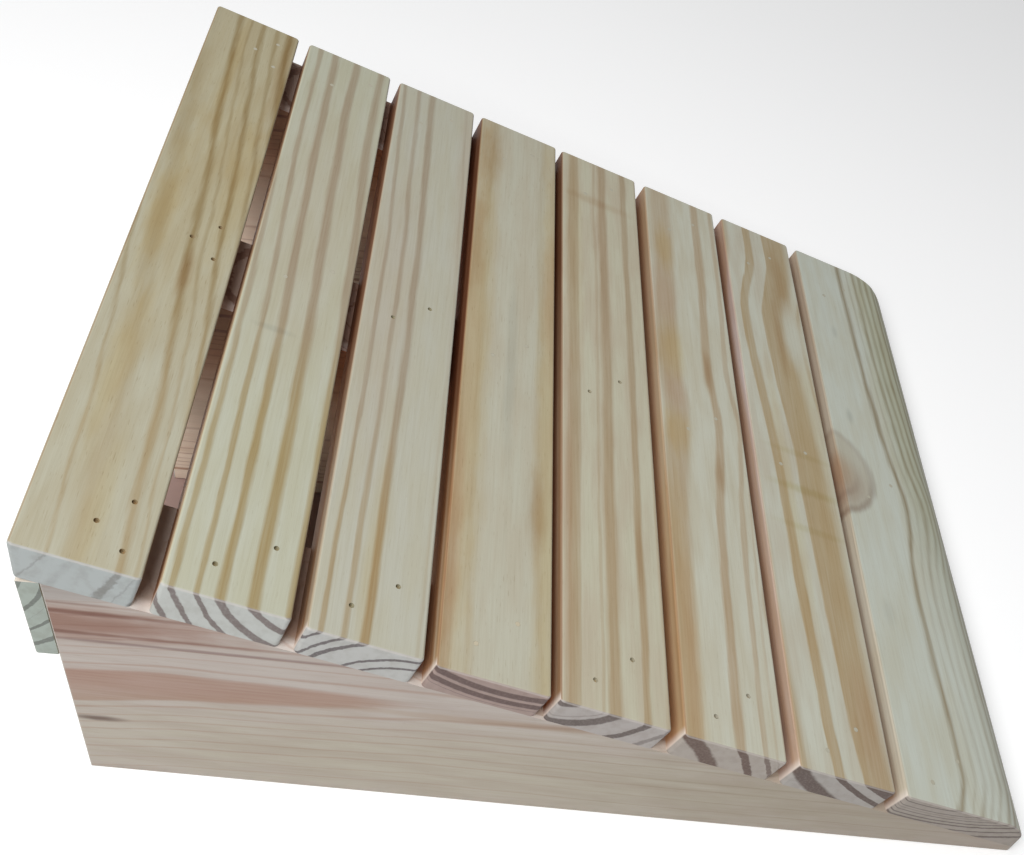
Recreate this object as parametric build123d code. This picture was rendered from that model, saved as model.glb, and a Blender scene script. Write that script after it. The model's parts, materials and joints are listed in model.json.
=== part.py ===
from build123d import *
import math
import os

# Slant board: eight pine slats nailed across three solid wooden wedges, with a rail across the back.
# Millimetres. While it is built, X runs forward from the wedges' top back corner to the low front,
# Y from the left wedge's outer face to the right wedge's, and Z up from the floor.
# Left and right are those of a person who stands on the board and faces its high end.

# Deck
board_width = 387.0            # length of a slat, flush with the outer wedges
slope_angle = 17.2             # deck to floor, degrees
slat_thickness = 16.0
first_slat_seat = 33.5         # the part of the first slat that lies on the wedges
slat_width = 50.0              # nominal, for slats 2 to 7
width_differences = [0.0, -2.0, 0.0, 1.5, 0.5, 0.5]         # each slat as it was sawn
front_slat_width = 69.0        # along its top, up to the front face
slat_gap = 6.5                 # nominal, between neighbours
gap_differences = [0.0, -0.5, -1.5, -2.5, 0.0, 0.0, 0.0]    # each gap as it was nailed
arris_radius = 1.2             # sanded top edges
corner_radius = 2.0            # sanded upright corners
left_end_leans = {1: 2.0, 2: 2.7, 3: 1.0}    # how far these slats' left ends are sanded back at the top
nose_radius = 18.0             # front top edge of the deck
left_front_radius = 3.5        # the deck's front corners, seen from above
right_front_radius = 26.0
front_corner_run_out = 0.1     # the corner curves end this far beyond the front face, not tangent to it

# Wedges
wedge_thickness = 50.0
tip_height = 4.3               # wood left at the wedges' front tips
nose_overhang = 0.3            # the front slat stands this far beyond the tips
back_edge_lean = 4.0           # the foot of the back edge lies this far forward of its top
wedge_arris_radius = 1.0
tip_radius = 3.0

# Back rail
rail_height = 47.0
rail_thickness = 9.0
rail_arris_radius = 1.2

# Nails
nail_length = 38.0
short_nail_length = 25.0       # for the front slat, where the wedges are thin
rail_nail_length = 32.0
nail_shank_radius = 0.9
nail_head_radius = 1.1
nail_head_thickness = 1.0
nail_point_length = 2.5
nail_point_radius = 0.2
nail_sink = 1.6                # the heads are punched below the surface
nail_clearance = 0.05          # hole wall to nail, all round and beyond the point

# Nail places on one wedge: distance down the slope, and distance to the right of its centre line
first_slat_nails_along = [12.0, 23.0, 24.0]                 # from the wedges' top back corner
first_slat_nails_across = [-3.0, 10.0, -13.0]
slat_nails_along = [16.0, 34.0]                             # from the slat's upper edge
second_slat_nails_along = [17.5, 39.0]                      # the second slat's are set wider
slat_nails_across = [-7.0, 8.0]
nail_line_drift = -1.1         # the nail lines wander to the left by this much per slat
rail_nail_depths = [12.0, 35.0]                             # below the rail's top edge
rail_nail_offset = 3.0         # to the right of the wedge's centre line

# The slats whose nail holes are filled flush, over each wedge
filled_slats = {
    "left_wedge": [4, 7, 8],
    "centre_wedge": [2, 4, 6, 7, 8],
    "right_wedge": [1, 2, 3, 4, 5, 6, 7, 8],
}

# Worked out from the sizes above
slope = math.radians(slope_angle)
widths = [slat_width + difference for difference in width_differences] + [front_slat_width]
slat_starts = [None]           # the first slat starts at the rail's rear face
slat_ends = [first_slat_seat]
for difference, width in zip(gap_differences, widths):
    slat_starts.append(slat_ends[-1] + slat_gap + difference)
    slat_ends.append(slat_starts[-1] + width)
slat_count = len(slat_ends)
front_x = slat_ends[-1] * math.cos(slope) + slat_thickness * math.sin(slope)
base_length = front_x - nose_overhang
back_height = tip_height + base_length * math.tan(slope)
reach = 2 * (front_x + board_width)     # longer than the whole board, for sawing off

wedge_starts = {
    "left_wedge": 0.0,
    "centre_wedge": (board_width - wedge_thickness) / 2,
    "right_wedge": board_width - wedge_thickness,
}

# On the deck plane X runs down the slope, Y to the right, and Z up from the slats' underside.
deck = Plane(
    origin=(0, 0, back_height),
    x_dir=(math.cos(slope), 0, -math.sin(slope)),
    z_dir=(math.sin(slope), 0, math.cos(slope)),
)
# On the back plane X runs down the wedges' back edge, Y to the left, and Z stands out backwards.
back = Plane(
    origin=(0, 0, back_height),
    x_dir=(back_edge_lean, 0, -back_height),
    z_dir=(-back_height, 0, -back_edge_lean),
)
standing = (Align.CENTER, Align.CENTER, Align.MIN)
hanging = (Align.CENTER, Align.CENTER, Align.MAX)
touching = 1e-3                # how near an edge's end must be to a plane to lie on it


def nail(length, clearance=0.0):
    """A small-headed nail that points down, with the top of its head at the origin."""
    shank_length = length - nail_point_length
    shape = Cylinder(nail_head_radius + clearance, nail_head_thickness, align=hanging)
    shape += Cylinder(nail_shank_radius + clearance, shank_length, align=hanging)
    shape += Pos(0, 0, -shank_length) * Cone(
        nail_point_radius + clearance,
        nail_shank_radius + clearance,
        nail_point_length + clearance,
        align=hanging,
    )
    return shape


def nail_hole(length):
    """What a punched nail takes out of the wood, up to and past the surface."""
    mouth = Cylinder(nail_head_radius + nail_clearance, 2 * nail_sink, align=standing)
    return nail(length, nail_clearance) + mouth


def on_plane(edge, plane):
    """Whether both ends of an edge lie on a plane."""
    heights = [plane.to_local_coords(vertex.center()).Z for vertex in edge.vertices()]
    return all(abs(height) < touching for height in heights)


def underside(board):
    """The edges of a slat that lie on the wedges' plane."""
    return [edge for edge in board.edges() if on_plane(edge, deck)]


def top_edges(board):
    """The edges around a slat's top."""
    top = deck.offset(slat_thickness)
    return [edge for edge in board.edges() if on_plane(edge, top)]


def upright_edges(board):
    """The edges that join a slat's top to its underside."""
    flat = underside(board) + top_edges(board)
    return [edge for edge in board.edges() if edge not in flat]


def blank_slat(start, end, lean=0.0):
    """A square-edged slat between two places down the slope. Its left end can lean in at the top."""
    outline = [(0, 0), (board_width, 0), (board_width, slat_thickness), (lean, slat_thickness)]
    section = Plane.YZ * Polygon(*outline, align=None)
    return deck * Pos(start, 0, 0) * extrude(section, end - start)


def sanded(board):
    """A slat with its upright corners rounded, then the edges around its top."""
    board = fillet(upright_edges(board), corner_radius)
    return fillet(top_edges(board), arris_radius)


def first_slat():
    """The highest slat, which reaches back over the rail and is sawn off level with it."""
    behind_rail = back * Pos(0, 0, rail_thickness) * Box(reach, reach, reach, align=standing)
    start = -rail_thickness - slat_thickness
    return sanded(blank_slat(start, slat_ends[0], left_end_leans[1]) - behind_rail)


def beyond_left_corner():
    """Everything outside the rounded left front corner."""
    outside = Box(reach, reach, reach, align=(Align.MIN, Align.MAX, Align.CENTER))
    outside -= Cylinder(left_front_radius, reach)
    centre_x = front_x + front_corner_run_out - left_front_radius
    return Pos(centre_x, left_front_radius, 0) * outside


def beyond_right_corner():
    """Everything outside the rounded right front corner."""
    outside = Box(reach, reach, reach, align=(Align.MIN, Align.MIN, Align.CENTER))
    outside -= Cylinder(right_front_radius, reach)
    centre_x = front_x + front_corner_run_out - right_front_radius
    return Pos(centre_x, board_width - right_front_radius, 0) * outside


def front_slat():
    """The wide lowest slat, sawn upright at the front and given a full round nose."""
    sawn_off = (Align.MIN, Align.CENTER, Align.CENTER)
    board = blank_slat(slat_starts[-1], slat_ends[-1] + slat_thickness)
    board -= Pos(front_x, 0, 0) * Box(reach, reach, reach, align=sawn_off)
    front_face = board.faces().sort_by(Axis.X)[-1]
    board = fillet(front_face.edges().sort_by(Axis.Z)[-1], nose_radius)
    board -= [beyond_left_corner(), beyond_right_corner()]
    upper_side = Plane(origin=deck.from_local_coords((slat_starts[-1], 0, 0)), z_dir=deck.x_dir)
    upper_corners = [edge for edge in upright_edges(board) if on_plane(edge, upper_side)]
    board = fillet(upper_corners, corner_radius)
    return fillet(top_edges(board), arris_radius)


def wedge(start):
    """One solid wedge, with its back edge leaning and its thin tip worn round below."""
    outline = [(0, back_height), (back_edge_lean, 0), (base_length, 0), (base_length, tip_height)]
    side = Plane.XZ * Polygon(*outline, align=None)
    body = Pos(0, start, 0) * extrude(side, -wedge_thickness)
    tip = body.edges().filter_by(Axis.Y).group_by(Axis.Z)[0].sort_by(Axis.X)[-1]
    body = fillet(tip, tip_radius)
    on_deck = underside(body)
    sharp = [edge for edge in body.edges().filter_by(Axis.Y, reverse=True) if edge not in on_deck]
    return fillet(sharp, wedge_arris_radius)


def back_rail():
    """The strip that ties the wedges together behind, below the first slat's overhang."""
    strip = (Align.MIN, Align.CENTER, Align.MIN)
    rail = Box(rail_height, board_width, rail_thickness, align=strip)
    rail = back * Pos(0, -board_width / 2, 0) * rail
    rear_face = rail.faces().sort_by(Axis.X)[0]
    return fillet(rear_face.edges(), rail_arris_radius)


def nail_places(number):
    """Where one slat's nails stand on a wedge: down the slope, and right of its centre line."""
    if number == 1:
        return list(zip(first_slat_nails_along, first_slat_nails_across))
    start = slat_starts[number - 1]
    drift = nail_line_drift * (number - 2)
    from_upper_edge = second_slat_nails_along if number == 2 else slat_nails_along
    places = zip(from_upper_edge, slat_nails_across)
    return [(start + along, across + drift) for along, across in places]


slats = {1: first_slat(), slat_count: front_slat()}
for number in range(2, slat_count):
    lean = left_end_leans.get(number, 0.0)
    slats[number] = sanded(blank_slat(slat_starts[number - 1], slat_ends[number - 1], lean))
wedges = {name: wedge(start) for name, start in wedge_starts.items()}
wedges["left_wedge"] -= beyond_left_corner()
wedges["right_wedge"] -= beyond_right_corner()
rail = back_rail()
fixings = {}
plugs = []

# Each slat is nailed to each wedge.
wedge_holes = {name: [] for name in wedges}
for number in slats:
    length = short_nail_length if number == slat_count else nail_length
    nails = []
    holes = []
    for name, start in wedge_starts.items():
        for along, across in nail_places(number):
            head_top = slat_thickness - nail_sink
            place = deck * Pos(along, start + wedge_thickness / 2 + across, head_top)
            nails.append(place * nail(length))
            holes.append(place * nail_hole(length))
            wedge_holes[name].append(holes[-1])
            if number in filled_slats[name]:
                plugs.append(place * Cylinder(nail_head_radius, nail_sink, align=standing))
    slats[number] -= holes
    fixings[f"slat_{number}_nails"] = nails
fixings["filler_plugs"] = plugs

# The rail is nailed to the wedges' back edges.
rail_nails = []
rail_holes = []
for name, start in wedge_starts.items():
    for depth in rail_nail_depths:
        across = start + wedge_thickness / 2 + rail_nail_offset
        place = back * Pos(depth, -across, rail_thickness - nail_sink)
        rail_nails.append(place * nail(rail_nail_length))
        rail_holes.append(place * nail_hole(rail_nail_length))
        wedge_holes[name].append(rail_holes[-1])
rail -= rail_holes
fixings["rail_nails"] = rail_nails
for name, holes in wedge_holes.items():
    wedges[name] -= holes

# The finished board stands on the floor with its origin below the middle of its box.
rear_x = slats[1].bounding_box().min.X
to_origin = Pos(-(rear_x + front_x) / 2, -board_width / 2, 0)
nodes = {f"slat_{number}": board for number, board in sorted(slats.items())}
nodes |= wedges
nodes["back_rail"] = rail
nodes |= {name: Compound(children=solids) for name, solids in fixings.items()}

os.makedirs("parts", exist_ok=True)
for name, shape in nodes.items():
    export_step(to_origin * shape, f"parts/{name}.step")
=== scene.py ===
import json
import math
from collections import namedtuple

import bpy
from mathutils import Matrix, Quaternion, Vector


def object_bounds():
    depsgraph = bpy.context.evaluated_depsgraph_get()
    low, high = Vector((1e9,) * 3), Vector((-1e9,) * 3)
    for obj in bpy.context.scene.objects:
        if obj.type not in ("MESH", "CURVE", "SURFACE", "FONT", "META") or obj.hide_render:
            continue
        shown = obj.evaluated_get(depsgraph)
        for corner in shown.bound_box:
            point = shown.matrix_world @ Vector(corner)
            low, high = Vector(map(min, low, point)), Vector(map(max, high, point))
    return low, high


# A slant board of sanded pine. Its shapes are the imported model's own solids, and this script gives
# them their finishes, a floor, light and a camera.

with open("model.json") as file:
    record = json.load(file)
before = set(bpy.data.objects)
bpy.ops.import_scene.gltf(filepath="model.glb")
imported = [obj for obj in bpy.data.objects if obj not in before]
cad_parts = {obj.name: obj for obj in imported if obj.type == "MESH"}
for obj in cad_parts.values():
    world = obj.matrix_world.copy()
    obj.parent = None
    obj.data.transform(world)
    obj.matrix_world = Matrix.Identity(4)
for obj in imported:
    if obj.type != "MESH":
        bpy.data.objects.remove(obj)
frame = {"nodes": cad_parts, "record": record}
cad_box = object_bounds()
nodes = frame["nodes"]

# ---------------------------------------------------------------------------------------------
# The board's own directions. Sizes in the figures below are millimetres, the scene is in metres.

MM = 0.001
deck_face = next(mount for mount in frame["record"]["mounts"] if mount["name"] == "deck_face")
OUT_OF_DECK = Vector(deck_face["axis"]).normalized()
DOWNHILL = Vector((OUT_OF_DECK.z, 0.0, -OUT_OF_DECK.x))
FORWARD = Vector((1.0, 0.0, 0.0))
RIGHTWARD = Vector((0.0, 1.0, 0.0))
UPWARD = Vector((0.0, 0.0, 1.0))


def reach(node, direction):
    """How far a CAD node reaches in a direction: its lowest and highest place."""
    places = [vertex.co.dot(direction) for vertex in nodes[node].data.vertices]
    return min(places), max(places)


# ---------------------------------------------------------------------------------------------
# Shader maths

MIX_FACTOR, MIX_A, MIX_B, MIX_RESULT = 0, 6, 7, 2      # a Mix node's sockets when it mixes colours


class Field:
    """Something that varies over a surface. Arithmetic on it adds Math nodes."""

    def __init__(self, finish, socket):
        self.finish = finish
        self.socket = socket

    def __add__(self, other):
        return self.finish.maths("ADD", self, other)

    def __radd__(self, other):
        return self.finish.maths("ADD", other, self)

    def __sub__(self, other):
        return self.finish.maths("SUBTRACT", self, other)

    def __rsub__(self, other):
        return self.finish.maths("SUBTRACT", other, self)

    def __mul__(self, other):
        return self.finish.maths("MULTIPLY", self, other)

    def __rmul__(self, other):
        return self.finish.maths("MULTIPLY", other, self)

    def __truediv__(self, other):
        return self.finish.maths("DIVIDE", self, other)

    def __pow__(self, other):
        return self.finish.maths("POWER", self, other)

    def __abs__(self):
        return self.finish.maths("ABSOLUTE", self)

    def towards(self, direction):
        """How far a vector reaches in a fixed direction."""
        settings = {"operation": "DOT_PRODUCT"}
        return self.finish.node("VectorMath", settings, {0: self, 1: tuple(direction)}, "Value")

    def step(self, low, high):
        """0 up to low, 1 from high on, and smooth between. Low may be the larger of the two."""
        settings = {"interpolation_type": "SMOOTHSTEP"}
        return self.finish.node("MapRange", settings, {0: self, 1: low, 2: high})

    def hump(self, middle, half_width):
        """1 at a middle value, falling smoothly to 0 at half a width on each side."""
        return abs(self - middle).step(half_width, 0.0)

    def graph(self, points):
        """The value read off a smooth graph, given as points from left to right."""
        xs, ys = zip(*points)
        width = xs[-1] - xs[0]
        low = min(ys)
        height = max(ys) - low
        stops = [((x - xs[0]) / width, (y - low) / height) for x, y in points]
        level = self.finish.ramp((self - xs[0]) / width, "CARDINAL", stops)
        return level * height + low


class Finish:
    """A material being made, from object coordinates to its surface."""

    def __init__(self, name):
        self.material = bpy.data.materials.new(name)
        self.material.use_nodes = True
        self.material.node_tree.nodes.clear()

    def node(self, kind, settings=None, inputs=None, output=0):
        """Adds a node, with its settings first, then its sockets' values or links. Gives one output."""
        made = self.material.node_tree.nodes.new("ShaderNode" + kind)
        for name, value in (settings or {}).items():
            if name == "ramp":
                draw_ramp(made.color_ramp, *value)
            else:
                setattr(made, name, value)
        for name, value in (inputs or {}).items():
            if isinstance(value, Field):
                self.material.node_tree.links.new(value.socket, made.inputs[name])
            else:
                made.inputs[name].default_value = value
        return Field(self, made.outputs[output]) if made.outputs else None

    def maths(self, operation, *values):
        return self.node("Math", {"operation": operation}, dict(enumerate(values)))

    def vector(self, x, y, z):
        return self.node("CombineXYZ", inputs={0: x, 1: y, 2: z})

    def ramp(self, place, curve, stops):
        """A grey level read off a ramp at a place from 0 to 1."""
        return self.node("ValToRGB", {"ramp": (curve, stops)}, {0: place})

    def noise(self, where, scale, detail, roughness=0.5):
        """Cloudy noise, around 0.5."""
        inputs = {"Vector": where, "Scale": scale, "Detail": detail, "Roughness": roughness}
        return self.node("TexNoise", inputs=inputs)

    def mix(self, factor, first, second, blend="MIX"):
        """Blends two colours."""
        settings = {"data_type": "RGBA", "blend_type": blend}
        inputs = {MIX_FACTOR: factor, MIX_A: first, MIX_B: second}
        return self.node("Mix", settings, inputs, MIX_RESULT)

    def between(self, factor, first, second):
        """Turns from one painted colour to another."""
        return self.mix(factor, paint(*first), paint(*second))

    def cover(self, amount, colour, coat):
        """Lays a coat of a painted colour over what is there."""
        return self.mix(amount, colour, paint(*coat))

    def tint(self, amount, colour, stain):
        """Stains what is there. A stain's figure over 255 brightens it."""
        return self.mix(amount, colour, paint(*stain), "MULTIPLY")

    def surface(self, colour, roughness, height, relief, **constants):
        """The closing shader. The height is in the field's own units, and relief is its size in metres."""
        normal = self.node("Bump", inputs={"Height": height, "Distance": relief, "Strength": 1.0})
        inputs = {"Base Color": colour, "Roughness": roughness, "Normal": normal, **constants}
        shader = self.node("BsdfPrincipled", inputs=inputs)
        self.node("OutputMaterial", inputs={"Surface": shader})
        return self.material


def draw_ramp(ramp, curve, stops):
    """Sets a ramp's curve and its stops of place and grey level."""
    ramp.interpolation = curve
    ramp.elements.remove(ramp.elements[1])
    for place, level in stops:
        element = ramp.elements[0] if place == stops[0][0] else ramp.elements.new(place)
        element.position = place
        element.color = (level, level, level, 1.0)


def paint(red, green, blue):
    """A colour as it is seen, in steps of 255, turned into light."""
    return tuple((step / 255) ** 2.2 for step in (red, green, blue)) + (1.0,)


# ---------------------------------------------------------------------------------------------
# Where a point is on its board. Across runs over the board's best face from one edge, along runs
# with the grain, and heights are from that face.

Place = namedtuple("Place", "across along height end side uphill facing inside")
CUT_END = 0.12, 0.5                                  # how squarely an end faces along the board
SAWN_SIDE = 0.6, 0.95                                # how squarely a side faces across it
HOLE_MARGIN = 6.0                                    # no nail is nearer than this to a board's edges


def clear_of_edges(place, size):
    """1 away from a board's two edges, and 0 in the margin along each."""
    return place.hump(size / 2, size / 2 - HOLE_MARGIN).step(0.0, 0.001)


def board_place(finish, node, across, along, out):
    """Where a point is, in millimetres, and which way its surface faces.

    End and side are 1 on the cut ends and the sawn sides. Inside is 1 where the nails are.
    """
    where = finish.node("TexCoord", output="Object")
    normal = finish.node("TexCoord", output="Normal")
    first_edge, last_edge = reach(node, across)
    first_end, last_end = reach(node, along)
    face = reach(node, out)[1]
    place_across = where.towards(across / MM) - first_edge / MM
    place_along = where.towards(along / MM) - first_end / MM
    clear_of_ends = clear_of_edges(place_along, (last_end - first_end) / MM)
    return Place(
        across=place_across,
        along=place_along,
        height=where.towards(out / MM) - face / MM,
        end=abs(normal.towards(along)).step(*CUT_END),
        side=abs(normal.towards(across)).step(*SAWN_SIDE),
        uphill=normal.towards(-across),
        facing=normal.towards(out),
        inside=clear_of_ends * clear_of_edges(place_across, (last_edge - first_edge) / MM),
    )


# ---------------------------------------------------------------------------------------------
# The grain

Grain = namedtuple("Grain", "fibres threads clouds rough ducts")
STREAKS = {                                          # width, length, detail and a seed of its own
    "fibres": (0.35, 22.0, 3.0, 11.0),
    "ducts": (0.5, 7.0, 1.0, 19.0),
    "threads": (1.2, 60.0, 3.0, 5.0),
    "rough": (5.0, 24.0, 3.0, 14.0),
    "clouds": (9.0, 55.0, 2.0, 8.0),
    "short waves": (2.0, 26.0, 3.0, 3.7),
    "long waves": (14.0, 90.0, 2.0, 0.0),
}
DUCT_SHARE = 0.66, 0.74                              # only the peaks of their noise are ducts


def streaks(finish, place, kind, seed):
    """Noise drawn out along the grain, around 0.5."""
    width, length, detail, own_seed = STREAKS[kind]
    far_along = place.along / length + (seed + own_seed)
    stretched = finish.vector(place.across / width, far_along, place.height / width)
    return finish.noise(stretched, scale=1.0, detail=detail, roughness=0.55)


def wood_grain(finish, place, seed):
    """The fine and the broad streaks of a board. Ducts are the short dark lines that resin ran in."""
    return Grain(
        fibres=streaks(finish, place, "fibres", seed),
        threads=streaks(finish, place, "threads", seed),
        clouds=streaks(finish, place, "clouds", seed),
        rough=streaks(finish, place, "rough", seed),
        ducts=streaks(finish, place, "ducts", seed).step(*DUCT_SHARE),
    )


def ring_radius(pith, across, height=0.0):
    """How far a place on a board is from the middle of the log."""
    x = across - pith[0]
    y = height - pith[1]
    return (x * x + y * y) ** 0.5


THIN_RING = 1.6                                      # a narrower band rises to one peak
RAMP_MARGIN = 2.0                                    # clear wood inside the first band and outside the last
LONG_STRAY = 3.0                                     # how far the rings stray in long waves


def ring_stops(bands, fade, low, span):
    """A ramp's stops for bands of late wood. Fade is the share of a band that each soft edge takes."""
    stops = [(0.0, 0.0)]
    touching = {outer for inner, outer, depth in bands} & {inner for inner, outer, depth in bands}
    for inner, outer, depth in sorted(bands):
        width = outer - inner
        shoulders = [0.5] if width < THIN_RING else [fade, 1.0 - fade]
        rises = [] if inner in touching else [(0.0, 0.0)]
        falls = [] if outer in touching else [(1.0, 0.0)]
        for place, level in rises + [(shoulder, depth) for shoulder in shoulders] + falls:
            spot = (inner + width * place - low) / span
            if stops[-1][0] < spot < 1.0:
                stops.append((spot, level))
    return stops


def growth(finish, place, cut, seed):
    """The late wood at a point, from 0 to 1."""
    long_waves = streaks(finish, place, "long waves", seed) - 0.5
    short_waves = streaks(finish, place, "short waves", seed) - 0.5
    stray = long_waves * LONG_STRAY + short_waves * cut["ragged"]
    across = place.across - place.along.graph(cut["wander"]) + stray
    pith = cut["pith"]
    radius = ring_radius(pith, across, place.height + place.along * cut["pith_tilt"])
    bands = list(cut["ring_radii"])
    for start, end, depth in cut["rings"]:
        edges = sorted((ring_radius(pith, start), ring_radius(pith, end)))
        bands.append((*edges, depth))
    low = min(inner for inner, outer, depth in bands) - RAMP_MARGIN
    span = max(outer for inner, outer, depth in bands) + RAMP_MARGIN - low
    return finish.ramp((radius - low) / span, "LINEAR", ring_stops(bands, cut["soft"], low, span))


# ---------------------------------------------------------------------------------------------
# The colours of pine, from its rings out to its sawn sides and ends, and the light and shade painted on the
# sides

STAINS = {
    "amber": (250, 238, 212),
    "rose": (246, 230, 224),
    "brown": (230, 212, 194),
    "olive": (232, 228, 198),
    "grey": (226, 228, 230),
    "dark": (196, 160, 146),
    "plum": (206, 190, 190),
    "bark": (154, 134, 126),
    "red": (216, 182, 168),
    # painted shade, not a stain: it darkens the low front of the left wedge's near side
    "painted_shade": (226, 222, 214),
    "green": (248, 250, 238),
}
KNOT_PALE = (176, 168, 150)
KNOT_NEAR_SIDE = (156, 134, 116)
KNOT_CORE = (168, 138, 108)
KNOT_OUTLINE = (128, 104, 88)

THREADS = (228, 222, 212)                            # the tints of the grain's streaks
DUCTS = (196, 178, 150)
FIBRES = (232, 226, 216)
END_SPECKS = (206, 198, 190)

# The downhill arris's pale line is partly sanding wear and partly a painted highlight.
ARRIS_WEAR_AND_HIGHLIGHT = (206, 194, 182)                              # a long edge, rounded by the sander
END_ARRIS = (196, 188, 180)
NEAR_CORNER = (224, 213, 203)                        # the start of a slat's sides
DEEP_GAP = (260, 200, 146)                           # the warm light deep in every gap but the first

# From where to where something comes in, along the board, up it or below its face
NEAR_CORNER_ALONG = 6, 1.5
FIRST_GAP_END = 80, 100
GAP_SIDE_UP = 48, 100
WEDGE_TOP_DEEP = -5, -8


def blot(place, oval, rough):
    """Where an oval stain lies: 1 inside and 0 outside, with a ragged edge drawn along the grain."""
    along, across, half_length, half_width = oval
    x = (place.along - along) / half_length
    y = (place.across - across) / half_width
    return ((x * x + y * y) ** 0.5 + (rough - 0.5) * 0.9).step(1.5, 0.25)


def knot(finish, place, colour, rough, along, across, half_length, half_width):
    """A knot: pale, brown at its core and on its near side, with a soft dark outline."""
    x = (place.along - along) / half_length
    y = (place.across - across) / half_width
    away = (x * x + y * y) ** 0.5 + (rough - 0.5) * 0.16
    near_side = place.along.step(along + half_length * 0.5, along - half_length * 0.9)
    colour = finish.cover(away.step(1.05, 0.85) * 0.5, colour, KNOT_PALE)
    colour = finish.cover(away.step(1.0, 0.6) * near_side * 0.7, colour, KNOT_NEAR_SIDE)
    colour = finish.cover(away.step(0.7, 0.2) * 0.6, colour, KNOT_CORE)
    outline = away.hump(0.95, 0.13) * (near_side * 0.35 + 0.2) + away.hump(0.6, 0.12) * near_side * 0.3
    return finish.cover(outline, colour, KNOT_OUTLINE)


def past_first_gap(place):
    """On a wedge, 0 under the first slat and the gap after it, and 1 under the rest."""
    return place.along.step(*FIRST_GAP_END)


def ring_colours(finish, place, cut, grain, late):
    """Early wood with bands of late wood, and both change over the board."""
    shade = late * (0.5 + grain.threads * 0.6 + grain.clouds * 0.3)
    shade = shade * (1.0 - place.side * cut["quiet_sides"])
    if "gap_side" in cut:
        shade = shade * (1.0 - past_first_gap(place) * 0.7)
    early_wood = finish.between(grain.clouds.step(0.3, 0.7), cut["early"], cut["early_warm"])
    late_wood = finish.between(place.along.step(*cut["fade"]), cut["late"], cut["late_far"])
    return finish.mix(shade, early_wood, late_wood)


def stained(finish, place, cut, grain, colour):
    """Adds a board's stains, the spots that stayed pale, and its knot."""
    for kind, strength, *oval in cut["stains"]:
        colour = finish.tint(blot(place, oval, grain.rough) * strength, colour, STAINS[kind])
    for strength, *oval in cut["pale_spots"]:
        colour = finish.cover(blot(place, oval, grain.rough) * strength, colour, cut["early"])
    if "knot" in cut:
        colour = knot(finish, place, colour, grain.rough, *cut["knot"])
    return colour


def sanded(finish, place, cut, grain, colour):
    """Adds the fine streaks that sanding brings out, and a pale line along the downhill edge, partly
    sanding wear and partly a painted highlight.
    """
    colour = finish.tint(grain.threads.step(0.42, 0.75) * 0.24, colour, THREADS)
    colour = finish.tint(grain.ducts * cut["ducts"], colour, DUCTS)
    colour = finish.tint(grain.fibres.step(0.35, 0.7) * 0.22, colour, FIBRES)
    edges = place.facing.hump(0.72, 0.26) * place.uphill.step(0.4, 0.1)
    return finish.cover(edges * 0.2, colour, ARRIS_WEAR_AND_HIGHLIGHT)


def lit_by_gaps(finish, place, cut, colour):
    """An inner wedge's near side, warm in the light that the wood around it passes on."""
    light = finish.between(place.across.step(*GAP_SIDE_UP), *cut["gap_side"])
    light = finish.tint(past_first_gap(place), light, DEEP_GAP)
    return finish.mix(place.facing.step(0.2, 0.8), colour, light, "MULTIPLY")


def sawn_sides(finish, place, cut, colour):
    """Paints light and shade on the two sawn sides, by their depth below the face and their place along the
    gap.
    """
    walls = place.side
    if "outer_edge" in cut:
        walls = walls * place.across.step(*cut["outer_edge"])
    # painted light and shade, by the depth below the face
    tint = finish.between(place.height.step(*cut["sawn"]), *cut["side_light_and_shade"])
    # painted shade that darkens the sides towards the gap's far end
    start, end, strength, far_shade_tint = cut["far_gap_shade"]
    tint = finish.tint(place.along.step(start, end) * strength, tint, far_shade_tint)
    colour = finish.mix(walls, colour, tint, "MULTIPLY")
    if "nail" in cut:                                # a slat or the rail
        # painted shade on a slat's uphill edge, in the cut's rim tint
        colour = finish.tint(place.uphill.hump(0.6, 0.45), colour, cut["rim"])
        return finish.cover(walls * place.along.step(*NEAR_CORNER_ALONG) * 0.8, colour, NEAR_CORNER)
    deep = walls * place.height.step(*WEDGE_TOP_DEEP) * past_first_gap(place)
    return finish.tint(deep, colour, DEEP_GAP)


def end_grain(finish, place, cut, grain, late):
    """The cut ends, rough and crossed by the rings."""
    ring_ends = late.step(0.2, 0.75) * (0.62 + grain.threads * 0.7)
    colour = finish.between(ring_ends, cut["end"], cut["end_ring"])
    colour = finish.tint(grain.rough.step(0.4, 0.7) * 0.3, colour, END_SPECKS)
    return finish.cover(place.facing.hump(0.75, 0.4) * 0.45, colour, END_ARRIS)


def pine(name, node, own_cut, across, along, out, seed):
    """Sanded pine, sawn from its log as the cut says."""
    finish = Finish(name)
    cut = {**PLAIN_CUT, **own_cut}
    place = board_place(finish, node, across, along, out)
    late = growth(finish, place, cut, seed)
    grain = wood_grain(finish, place, seed)
    colour = ring_colours(finish, place, cut, grain, late)
    colour = stained(finish, place, cut, grain, colour)
    colour = sanded(finish, place, cut, grain, colour)
    if "gap_side" in cut:
        colour = lit_by_gaps(finish, place, cut, colour)
    colour = sawn_sides(finish, place, cut, colour)
    colour = finish.mix(place.end, colour, end_grain(finish, place, cut, grain, late))
    if "nail" in cut:
        # painted shade: the walls of the nail holes take the nails' tone
        upright = abs(place.facing).step(0.6, 0.3)
        colour = finish.cover(place.inside * upright, colour, cut["nail"])
    roughness = 0.62 - late * 0.08 + (grain.fibres - 0.5) * 0.12 + place.end * 0.15
    height = late * 0.5 + grain.fibres * 0.35 + grain.threads * 0.3
    return finish.surface(colour, roughness, height, relief=0.08 * MM)
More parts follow.
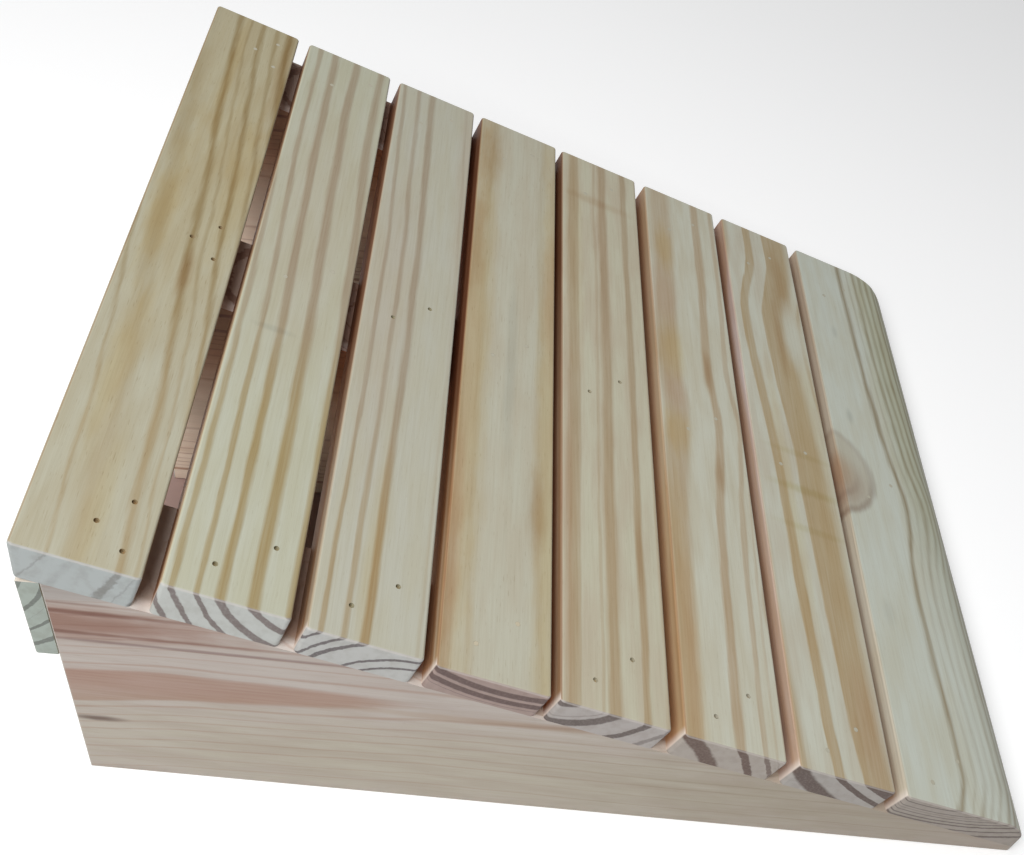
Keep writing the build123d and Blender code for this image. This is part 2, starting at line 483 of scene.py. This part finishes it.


# ---------------------------------------------------------------------------------------------
# How each board was cut from its log, and how it looks now. Colours are in steps of 255.
#
# pith, pith_tilt    where the middle of the log lies, across the board and above its face, and how
#                    far it sinks for each millimetre along, in a board that was sawn askew
# wander             points of the line that the grain follows: along the board, and how far across
# rings              bands of late wood where they cross the face: start, end and depth of colour
# ring_radii         more bands, given by their distances from the pith
# soft, ragged       the share of a band that a soft edge takes, and how far its edge strays
# early, early_warm  the wood between the bands, and its warmer patches
# late, late_far     the bands at the board's start and at its far end
# fade               along the board, from where to where the bands change from one to the other
# stains             kind, strength and oval: its middle along and across, half its length and width.
#                    A few of them are painted shade, not stains
# pale_spots         strength and oval of a place that hides the bands
# knot               the oval of a knot
# ducts              how strong the resin lines are
# side_light_and_shade, sawn   painted light and shade on a sawn side: its tint by the face and its tint deeper
#                    down, and the heights from where to where it turns from one to the other
# outer_edge         across the board, from where to where the sides' tints come in
# far_gap_shade            along the gap, from where to where a further tint comes in, how strong, and which:
#                    painted shade, darker towards the gap's far end
# quiet_sides        how much fainter the bands are on the sides
# gap_side           the tints of an inner wedge's near side: painted light low down and painted shade high up
# rim                the tint of a slat's uphill edge: painted shade where the edge turns into the gap
# end, end_ring      the cut ends and the bands on them
# nail               the nails' tone, painted paler than steel against the shade in their holes, which is also
#                    the painted shade on the holes' walls

PLAIN_CUT = {                                        # what a board has where its own cut says nothing
    "pith_tilt": 0.0, "rings": [], "ring_radii": [], "soft": 0.18, "ragged": 1.6,
    "stains": [], "pale_spots": [], "ducts": 0.2, "quiet_sides": 0.0,
    "side_light_and_shade": ((252, 228, 208), (258, 204, 174)), "sawn": (-2, -10),
    "far_gap_shade": (60, 380, 0.6, (206, 176, 156)), "rim": (224, 204, 192),
}

SLATS = {
    "slat_1": {
        "pith": (-70.0, 30.0), "soft": 0.42, "ragged": 3.0, "ducts": 0.4,
        "wander": [(0, 0), (35, -2.5), (100, -5.5), (165, -11.5), (260, -17.5), (340, -23.5), (387, -25.5)],
        "rings": [
            (12.2, 15, 0.5), (18, 29, 0.35), (37, 42.6, 0.85), (44.5, 47, 0.45), (50.5, 55, 0.8),
            (59, 63, 0.55), (65, 72, 0.9),
        ],
        "stains": [
            ("amber", 0.8, 100, 15, 50, 6), ("amber", 0.8, 205, 10, 38, 6), ("amber", 0.6, 25, 25, 40, 5),
            ("brown", 0.8, 165, 28.5, 16, 3), ("amber", 0.6, 335, 18, 60, 3),
            ("brown", 0.5, 340, 44, 60, 4), ("amber", 0.5, 235, 40, 60, 7), ("amber", 0.5, 210, 25, 90, 28),
            ("amber", 0.6, 340, 30, 110, 40),
        ],
        "early": (183, 180, 160), "early_warm": (176, 169, 145), "fade": (60, 200),
        "late": (162, 142, 106), "late_far": (144, 127, 90),
        "end": (158, 163, 162), "end_ring": (128, 129, 126),
        "nail": (156, 136, 102), "outer_edge": (10, 24),
    },
    "slat_2": {
        "pith": (57.4, 26.2), "soft": 0.3,
        "wander": [(0, 0), (130, -0.8), (200, -2.2), (250, -4), (300, -5.5), (387, -6)],
        "rings": [
            (-6, -2, 0.8), (2.4, 6, 0.8), (11.3, 15, 0.85), (19.5, 24.9, 1.0), (31.6, 38, 1.0),
            (47, 54, 0.95),
        ],
        "stains": [("grey", 0.5, 150, 18, 2.0, 9), ("rose", 0.4, 240, 25, 110, 30)],
        "early": (188, 189, 171), "early_warm": (184, 183, 161), "fade": (90, 190),
        "late": (160, 142, 102), "late_far": (164, 152, 130),
        "end": (172, 174, 170), "end_ring": (112, 103, 100),
        "nail": (160, 153, 124), "rim": (252, 248, 244),
        "side_light_and_shade": ((242, 208, 184), (214, 154, 126)),
    },
    "slat_3": {
        "pith": (52.0, -44.7), "soft": 0.3,
        "wander": [(0, 0), (100, 1), (200, 1.8), (300, 0), (387, -2)],
        "rings": [(4.2, 7.2, 0.8), (12.8, 16.4, 0.75), (20.2, 25.4, 1.0), (45.2, 60, 0.8)],
        "ring_radii": [(41.9, 44, 0.9), (36.8, 38.8, 0.8)],
        "stains": [
            ("amber", 0.5, 35, 22, 60, 4), ("rose", 0.45, 330, 47, 110, 6.5),
            ("rose", 0.4, 200, 12, 110, 14),
        ],
        "early": (186, 185, 170), "early_warm": (184, 181, 162), "fade": (40, 150),
        "late": (162, 142, 108), "late_far": (164, 152, 132),
        "end": (170, 170, 167), "end_ring": (98, 92, 92),
        "nail": (160, 154, 128), "rim": (240, 226, 218),
        "side_light_and_shade": ((232, 209, 194), (232, 184, 158)), "far_gap_shade": (40, 200, 1.0, (200, 162, 140)),
    },
    "slat_4": {
        "pith": (28.0, 75.0), "soft": 0.3, "ragged": 3.0, "ducts": 0.35,
        "wander": [(0, 0), (100, -2), (200, -3), (300, -3.5), (387, -3)],
        "ring_radii": [(76, 77.4, 0.3), (78.2, 83.4, 0.95), (83.8, 88.4, 1.0), (88.9, 90.5, 0.5)],
        "stains": [
            ("amber", 0.9, 180, 5, 230, 9), ("rose", 0.7, 60, 3, 60, 3.5), ("brown", 0.6, 270, 4, 50, 4),
            ("brown", 0.7, 355, 8, 36, 6), ("amber", 0.9, 150, 47, 260, 6.5),
            ("brown", 0.8, 95, 42, 24, 5), ("rose", 0.6, 240, 47, 60, 5), ("grey", 0.5, 180, 26, 60, 3),
            ("rose", 0.5, 150, 3, 200, 6),
        ],
        "early": (190, 188, 170), "early_warm": (186, 180, 160), "fade": (100, 300),
        "late": (170, 152, 122), "late_far": (166, 152, 122),
        "end": (148, 130, 123), "end_ring": (92, 74, 70), "nail": (130, 120, 96),
        "side_light_and_shade": ((258, 244, 236), (270, 220, 194)), "far_gap_shade": (30, 190, 1.0, (170, 130, 115)),
    },
    "slat_5": {
        "pith": (-2.0, 16.0), "soft": 0.28,
        "wander": [(0, 0), (120, 0.5), (200, 1.2), (300, 1.5), (387, 1.6)],
        "rings": [
            (1, 8.4, 0.85), (8.4, 9.8, 0.5), (18.6, 20.8, 0.4), (21.2, 29.2, 0.9), (37.6, 42.7, 0.9),
            (48.5, 53, 0.5),
        ],
        "stains": [
            ("rose", 0.6, 120, 3, 160, 3), ("brown", 0.6, 85, 40, 22, 2), ("brown", 0.45, 347, 24, 4, 20),
            ("amber", 0.4, 300, 8, 110, 5), ("rose", 0.3, 300, 25, 110, 6),
        ],
        "early": (195, 192, 170), "early_warm": (189, 180, 158), "fade": (60, 250),
        "late": (171, 150, 118), "late_far": (170, 153, 126),
        "end": (160, 154, 150), "end_ring": (94, 84, 80),
        "nail": (170, 163, 140), "rim": (196, 166, 152),
        "side_light_and_shade": ((216, 188, 172), (216, 143, 108)), "far_gap_shade": (120, 300, 1.0, (188, 156, 133)),
    },
    "slat_6": {
        "pith": (-44.0, -73.0), "soft": 0.24, "ragged": 2.2,
        "wander": [
            (0, 0), (60, 0.8), (100, 2), (150, 4.5), (185, 8), (200, 8.5), (225, 6), (250, 5.5), (300, 7.5),
            (387, 8.5),
        ],
        "rings": [
            (-8, 10.8, 0.72), (23.8, 30.4, 0.85), (37.6, 41.6, 0.6), (44, 46, 0.45), (48.5, 52, 0.6),
        ],
        "stains": [
            ("amber", 0.9, 178, 9, 16, 8), ("rose", 0.7, 206, 10, 14, 8), ("amber", 1.0, 240, 10, 22, 8),
            ("rose", 0.6, 286, 8, 24, 9), ("amber", 0.9, 332, 11, 22, 6), ("rose", 0.5, 40, 6, 60, 5),
            ("brown", 0.8, 232, 32, 16, 3.5), ("brown", 0.7, 157, 33, 12, 3), ("brown", 0.7, 82, 50, 14, 2),
            ("amber", 0.8, 40, 4, 120, 7),
        ],
        "early": (200, 200, 184), "early_warm": (194, 190, 170), "fade": (60, 220),
        "late": (176, 155, 126), "late_far": (176, 157, 129),
        "end": (156, 148, 140), "end_ring": (94, 76, 68), "nail": (176, 171, 154),
    },
    "slat_7": {
        "pith": (73.7, 83.0), "soft": 0.26, "ragged": 2.0,
        "wander": [
            (0, 0), (25, -2.5), (75, -4), (150, -5.5), (200, -7), (240, -10), (270, -12), (305, -12.5),
            (330, -8), (352, -3.5), (387, -3),
        ],
        "rings": [
            (-9, 7.4, 0.8), (17.4, 19.2, 0.95), (19.2, 24.4, 0.8), (32.4, 34.4, 0.9), (34.4, 54, 0.85),
            (57, 61, 0.7),
        ],
        "stains": [
            ("olive", 0.4, 140, 30, 2.4, 22), ("olive", 0.6, 167, 30, 3.0, 22),
            ("olive", 0.35, 193, 30, 2.4, 22), ("amber", 0.6, 150, 18, 110, 5),
            ("amber", 0.5, 210, 40, 150, 12), ("rose", 0.5, 30, 42, 34, 8), ("brown", 0.5, 340, 38, 34, 6),
            ("brown", 0.6, 292, 31, 34, 3.2),
        ],
        "pale_spots": [(0.85, 292, 41, 27, 7.5)],
        "early": (200, 201, 186), "early_warm": (193, 188, 170), "fade": (60, 200),
        "late": (175, 153, 117), "late_far": (175, 156, 122),
        "end": (154, 149, 144), "end_ring": (88, 74, 68),
        "nail": (130, 120, 96), "rim": (236, 222, 218),
        "side_light_and_shade": ((274, 262, 280), (238, 203, 198)),
    },
    "slat_8": {
        "pith": (10.4, 90.0), "soft": 0.45, "ragged": 2.4,
        "wander": [
            (0, -3), (15, 2.5), (30, 3.4), (70, 2.2), (120, 2), (145, 4), (160, 7), (180, 9.5), (190, 9.5),
            (210, 6), (235, 3.5), (280, 1.5), (320, 1), (387, 0),
        ],
        "rings": [
            (29.2, 34.6, 0.95), (37.6, 40.2, 0.3), (42.2, 46.4, 0.7), (47.4, 50.8, 0.55), (52, 55.6, 0.7),
            (57.6, 62, 0.7),
        ],
        "ring_radii": [(104.2, 106.4, 0.9), (108.5, 110.5, 0.9), (112.5, 115.5, 1.0)],
        "pale_spots": [(0.6, 70, 50, 95, 9)],
        "knot": (194, -6, 31, 28),
        "stains": [
            ("grey", 0.7, 241, 15, 6, 2.2), ("grey", 0.5, 315, 18, 5, 2), ("grey", 0.3, 103, 12, 8, 4),
            # the grey and olive ovals on the next line are painted shade, darkening the rounded nose
            ("grey", 0.55, 200, 60, 230, 16), ("olive", 0.55, 300, 56, 190, 15),
        ],
        "early": (200, 205, 194), "early_warm": (195, 196, 180), "fade": (60, 250),
        "late": (151, 139, 114), "late_far": (143, 131, 106),
        "end": (146, 138, 130), "end_ring": (98, 88, 82),
        "nail": (130, 120, 96), "rim": (226, 216, 208), "outer_edge": (62, 55),
        "side_light_and_shade": ((262, 248, 240), (212, 163, 137)), "sawn": (-4, -11), "quiet_sides": 0.8,
    },
}

# The sawn sides of a wedge are its top, which shows between the slats, and its bottom. Their tints
# are painted light, which makes the top brighter, most of all in its first 3 mm behind the near face.
WEDGE_SIDES = {
    "side_light_and_shade": ((380, 386, 394), (285, 262, 246)), "sawn": (-3, -7), "outer_edge": (0.5, 1.5),
}

LEFT_WEDGE = {
    **WEDGE_SIDES,
    "pith": (68.0, -20.0), "pith_tilt": 0.0263, "soft": 0.12, "ragged": 1.0,
    "wander": [(0, 0), (38, 4.9), (70, 6.5), (100, 7.5), (130, 8.8), (155, 10), (300, 7), (427, 8)],
    "ring_radii": [
        (8, 22.6, 0.82), (22.6, 23.8, 1.0), (25.4, 26.6, 0.8), (30.2, 31.2, 0.6), (34.2, 35.4, 0.55),
        (39, 40.2, 0.6), (46.6, 47.8, 0.6), (52.6, 54, 0.6), (61.4, 62.4, 0.5), (69, 70.2, 0.5),
    ],
    "stains": [
        ("red", 1.0, 0, 113.5, 66, 10.5), ("dark", 1.0, 10, 120.6, 60, 1.6),
        ("dark", 0.8, 15, 107, 95, 1.2), ("dark", 0.6, 5, 126, 32, 0.8), ("dark", 0.3, 0, 112, 50, 9),
        ("plum", 1.0, 55, 102, 80, 1.1), ("bark", 1.0, 12, 43.4, 10, 2.2), ("brown", 0.7, 175, 71, 60, 2.5),
        # the last oval on the next line is painted shade, low on the near side's front end
        ("rose", 0.8, 20, 74, 90, 9), ("green", 1.0, 180, 28, 260, 38), ("painted_shade", 0.8, 390, 30, 150, 50),
        ("grey", 1.0, 0, 133, 34, 7),
    ],
    "early": (171, 162, 155), "early_warm": (164, 153, 145), "fade": (100, 300),
    "late": (150, 124, 109), "late_far": (140, 124, 109),
    "end": (168, 164, 156), "end_ring": (150, 145, 136),
}

INNER_WEDGE = {
    **WEDGE_SIDES,
    "pith": (60.0, -26.0), "pith_tilt": 0.01, "soft": 0.2,
    "wander": [(0, 0), (120, 2.5), (260, -1.5), (427, 1)],
    "ring_radii": [
        (31.5, 33, 0.6), (38.5, 39.4, 0.7), (43, 44, 0.7), (46.6, 47.5, 0.8), (49.6, 50.4, 0.7),
        (52.2, 53, 0.8), (54.6, 55.4, 0.7), (57, 59, 0.9), (66, 68, 0.9),
    ],
    "stains": [("rose", 1.0, 180, 60, 260, 70)],
    "early": (190, 172, 162), "early_warm": (182, 164, 153), "fade": (100, 300),
    "late": (142, 110, 96), "late_far": (140, 112, 98),
    "end": (168, 164, 156), "end_ring": (124, 112, 102),
    "gap_side": ((331, 342, 332), (232, 190, 152)),
}

WEDGES = {"left_wedge": LEFT_WEDGE, "centre_wedge": INNER_WEDGE, "right_wedge": INNER_WEDGE}

RAIL = {
    "pith": (58.0, 30.5),
    "wander": [(0, 0), (200, 1.5), (387, -1)],
    "ring_radii": [(33, 35.5, 0.6), (41.5, 44, 0.7), (47, 48.2, 0.4), (52, 54, 0.8), (60, 63, 0.7)],
    "early": (180, 180, 162), "early_warm": (176, 170, 148), "fade": (100, 300),
    "late": (156, 138, 106), "late_far": (152, 136, 106),
    "end": (150, 158, 150), "end_ring": (104, 108, 102),
    # painted light: the tint of the rail's sides brightens and cools its top and bottom
    "nail": (70, 60, 48), "rim": (255, 255, 255), "side_light_and_shade": ((272, 278, 294), (272, 278, 294)),
}

# ---------------------------------------------------------------------------------------------
# Nails and filler

FILLER_AGED = (188, 184, 166), (176, 171, 152)
FILLER_FRESH = (200, 190, 166), (188, 176, 150)
LEFT_END = -120 * MM, -140 * MM                      # rightward from the board's middle
FOURTH_SLAT = 30 * MM, 0.0                           # forward from it


def nail_steel(name, tone):
    """Dull wire-nail steel, browned by the damp wood, in a tone painted paler than steel to make up for the
    shade in its hole.
    """
    finish = Finish(name)
    rust = finish.noise(finish.node("TexCoord", output="Object"), scale=900.0, detail=4.0)
    red, green, blue = tone
    colour = finish.between(rust.step(0.4, 0.62), tone, (red * 1.1, green, blue * 0.9))
    return finish.surface(colour, 0.7 + rust * 0.3, rust, relief=0.05 * MM, Metallic=0.15)


def wood_filler():
    """Putty rubbed flush, pale and fresh at the fourth slat's left end."""
    finish = Finish("wood_filler")
    where = finish.node("TexCoord", output="Object")
    grit = finish.noise(where, scale=1400.0, detail=3.0)
    aged = finish.between(grit, *FILLER_AGED)
    fresh = finish.between(grit, *FILLER_FRESH)
    at_left_end = where.towards(RIGHTWARD).step(*LEFT_END)
    up_to_fourth_slat = where.towards(FORWARD).step(*FOURTH_SLAT)
    colour = finish.mix(at_left_end * up_to_fourth_slat, aged, fresh)
    return finish.surface(colour, 0.75 + grit * 0.1, grit, relief=0.03 * MM)


# ---------------------------------------------------------------------------------------------
# Every CAD node gets its finish. The seeds keep the boards' noises apart.

SEED_STEP = 17.0
WEDGE_SEED = 200.0
RAIL_SEED = 300.0


def dress(node, material):
    """Gives a whole CAD node one finish."""
    slots = nodes[node].data.materials
    slots.clear()
    slots.append(material)


for number, (node, cut) in enumerate(SLATS.items()):
    seed = SEED_STEP * number
    dress(node, pine(node + "_pine", node, cut, DOWNHILL, RIGHTWARD, OUT_OF_DECK, seed))
for number, (node, cut) in enumerate(WEDGES.items()):
    seed = WEDGE_SEED + SEED_STEP * number
    dress(node, pine(node + "_pine", node, cut, UPWARD, FORWARD, -RIGHTWARD, seed))
dress("back_rail", pine("rail_pine", "back_rail", RAIL, UPWARD, RIGHTWARD, -FORWARD, RAIL_SEED))
for node, cut in {**SLATS, "rail": RAIL}.items():
    dress(node + "_nails", nail_steel(node + "_nail_steel", cut["nail"]))
dress("filler_plugs", wood_filler())

# ---------------------------------------------------------------------------------------------
# Floor, light and camera

FLOOR_SIZE = 8.0
FLOOR_WHITE = (0.93, 0.93, 0.93, 1.0), (0.96, 0.96, 0.96, 1.0)
FLOOR_SHADE = (158, 132, 124)
SHADE_FROM_FRONT = 1 * MM, 9 * MM                    # how far in the shade starts, and where it is full
SHADE_FROM_SIDES = 44 * MM, 84 * MM
FLOOR_GLOW = 0.16
BLACK = (0.0, 0.0, 0.0, 1.0)
WHITE = (1.0, 1.0, 1.0, 1.0)


def pale_floor():
    """A wide, nearly white floor, with a painted warm shade between the wedges, where its glow is turned
    off.
    """
    finish = Finish("pale_floor")
    where = finish.node("TexCoord", output="Object")
    clouds = finish.noise(where, scale=3.0, detail=2.0)
    front, right = cad_box[1][:2]
    under = abs(where.towards(FORWARD)).step(*(front - inset for inset in SHADE_FROM_FRONT))
    under = under * abs(where.towards(RIGHTWARD)).step(*(right - inset for inset in SHADE_FROM_SIDES))
    colour = finish.cover(under, finish.mix(clouds, *FLOOR_WHITE), FLOOR_SHADE)
    lit = {"Emission Color": finish.mix(under, WHITE, BLACK), "Emission Strength": FLOOR_GLOW}
    return finish.surface(colour, 0.9 - clouds * 0.05, clouds, relief=0.1 * MM, **lit)


bpy.ops.mesh.primitive_plane_add(size=FLOOR_SIZE, location=(0.0, 0.0, 0.0))
floor = bpy.context.object
floor.name = "floor"
floor.data.materials.append(pale_floor())

LAMPS_AIM = Vector((0.0, 0.0, 0.05))


def softbox(name, place, width, power):
    """A large square lamp that faces the board."""
    lamp = bpy.data.lights.new(name, "AREA")
    lamp.size = width
    lamp.energy = power
    holder = bpy.data.objects.new(name, lamp)
    holder.location = place
    holder.rotation_euler = (LAMPS_AIM - Vector(place)).to_track_quat("-Z", "Y").to_euler()
    bpy.context.scene.collection.objects.link(holder)


softbox("window", (-0.55, -0.9, 1.35), width=1.0, power=22.5)
softbox("ceiling", (-0.9, 0.1, 2.2), width=2.0, power=22.0)

ROOM_WHITE = (0.95, 0.97, 1.0, 1.0)
ROOM_STRENGTH = 0.13

world = bpy.data.worlds.new("room")
world.use_nodes = True
room_light = world.node_tree.nodes["Background"].inputs
room_light["Color"].default_value = ROOM_WHITE
room_light["Strength"].default_value = ROOM_STRENGTH
bpy.context.scene.world = world
bpy.context.scene.view_settings.view_transform = "Standard"

EYE = Vector((-0.0833, -0.4516, 0.5179))
LOOKED_AT = Vector((-0.0326, -0.0251, 0.07))
CAMERA_TILT = math.radians(11.65)                    # the camera is held askew, its right side up
LENS = 43.1
NEAREST = 0.01

camera = bpy.data.objects.new("camera", bpy.data.cameras.new("camera"))
camera.data.lens = LENS
camera.data.clip_start = NEAREST
camera.location = EYE
level = (LOOKED_AT - EYE).to_track_quat("-Z", "Y")
camera.rotation_euler = (level @ Quaternion((0.0, 0.0, 1.0), CAMERA_TILT)).to_euler()
bpy.context.scene.collection.objects.link(camera)
bpy.context.scene.camera = camera
